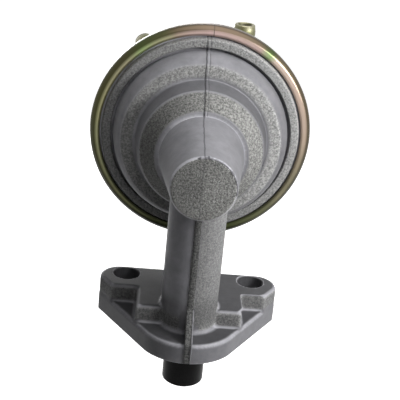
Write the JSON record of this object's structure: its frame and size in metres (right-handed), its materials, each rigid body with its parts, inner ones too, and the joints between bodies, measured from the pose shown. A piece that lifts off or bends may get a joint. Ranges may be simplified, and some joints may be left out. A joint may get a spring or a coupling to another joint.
{
  "type": "mechanical diaphragm fuel pump",
  "caption": "Engine-mounted diaphragm fuel pump: a spring-loaded plunger in a flanged die-cast tube works a bell crank that pulls the diaphragm under a crimped steel cover.",
  "frame": {"origin": "on the mounting face of the flange, midway between its two bolt holes", "axes": "+Z away from the engine along the plunger, +Y from the closed neck end to the cover, +X along the bolt line to the outlet pipe's side"},
  "size_m": [0.0776, 0.0993, 0.1162],
  "materials": {
    "casting": "as cast, partly sand textured",
    "zinc_steel": "yellow zinc plated",
    "dark_steel": "black oxide",
    "plain_steel": "bright",
    "bronze": "turned",
    "rubber": "matte"
  },
  "bodies": {
    "housing": {"body": "casting", "cover": "zinc_steel", "inlet_pipe": "zinc_steel", "outlet_pipe": "zinc_steel", "cover_seal": "rubber", "valve_housing": "casting", "inlet_valve_cage": "plain_steel", "outlet_valve_cage": "plain_steel", "inlet_valve_spring": "plain_steel", "outlet_valve_spring": "plain_steel", "diaphragm": "rubber", "diaphragm_spring": "plain_steel", "seal_cup": "plain_steel", "rod_seal": "rubber", "crank_pin": "plain_steel", "guide_bush": "bronze", "plunger_spring": "plain_steel"},
    "plunger": {"plunger": "dark_steel"},
    "crank": {"bell_crank": "plain_steel"},
    "diaphragm_stack": {"pull_rod": "plain_steel", "pull_rod_nut": "plain_steel", "lower_diaphragm_plate": "plain_steel", "upper_diaphragm_plate": "plain_steel"},
    "inlet_valve": {"inlet_valve_disc": "rubber"},
    "outlet_valve": {"outlet_valve_disc": "rubber"}
  },
  "joints": [
    {"name": "plunger_slide", "type": "slide", "parent": "housing", "child": "plunger", "axis": [0, 0, 1], "range_m": [0, 0.003], "stiffness_N_per_m": 800, "springref_m": -0.003, "deforming": ["plunger_spring"]},
    {"name": "crank_pivot", "type": "hinge", "parent": "housing", "child": "crank", "pos_m": [0, -0.0275, 0.056], "axis": [1, 0, 0], "range_deg": [0, 23]},
    {"name": "diaphragm_slide", "type": "slide", "parent": "housing", "child": "diaphragm_stack", "axis": [0, 1, 0], "range_m": [-0.0022, 0], "stiffness_N_per_m": 500, "springref_m": 0.003, "deforming": ["diaphragm", "diaphragm_spring"]},
    {"name": "inlet_valve_slide", "type": "slide", "parent": "housing", "child": "inlet_valve", "axis": [0, -1, 0], "range_m": [0, 0.0012], "stiffness_N_per_m": 30, "springref_m": -0.001, "deforming": ["inlet_valve_spring"]},
    {"name": "outlet_valve_slide", "type": "slide", "parent": "housing", "child": "outlet_valve", "axis": [0, 1, 0], "range_m": [0, 0.0012], "stiffness_N_per_m": 30, "springref_m": -0.001, "deforming": ["outlet_valve_spring"]}
  ],
  "couplings": [
    {"joint": "crank_pivot", "follows": "plunger_slide", "rad_per_m": 133.3},
    {"joint": "diaphragm_slide", "follows": "plunger_slide", "ratio": -0.7333}
  ]
}
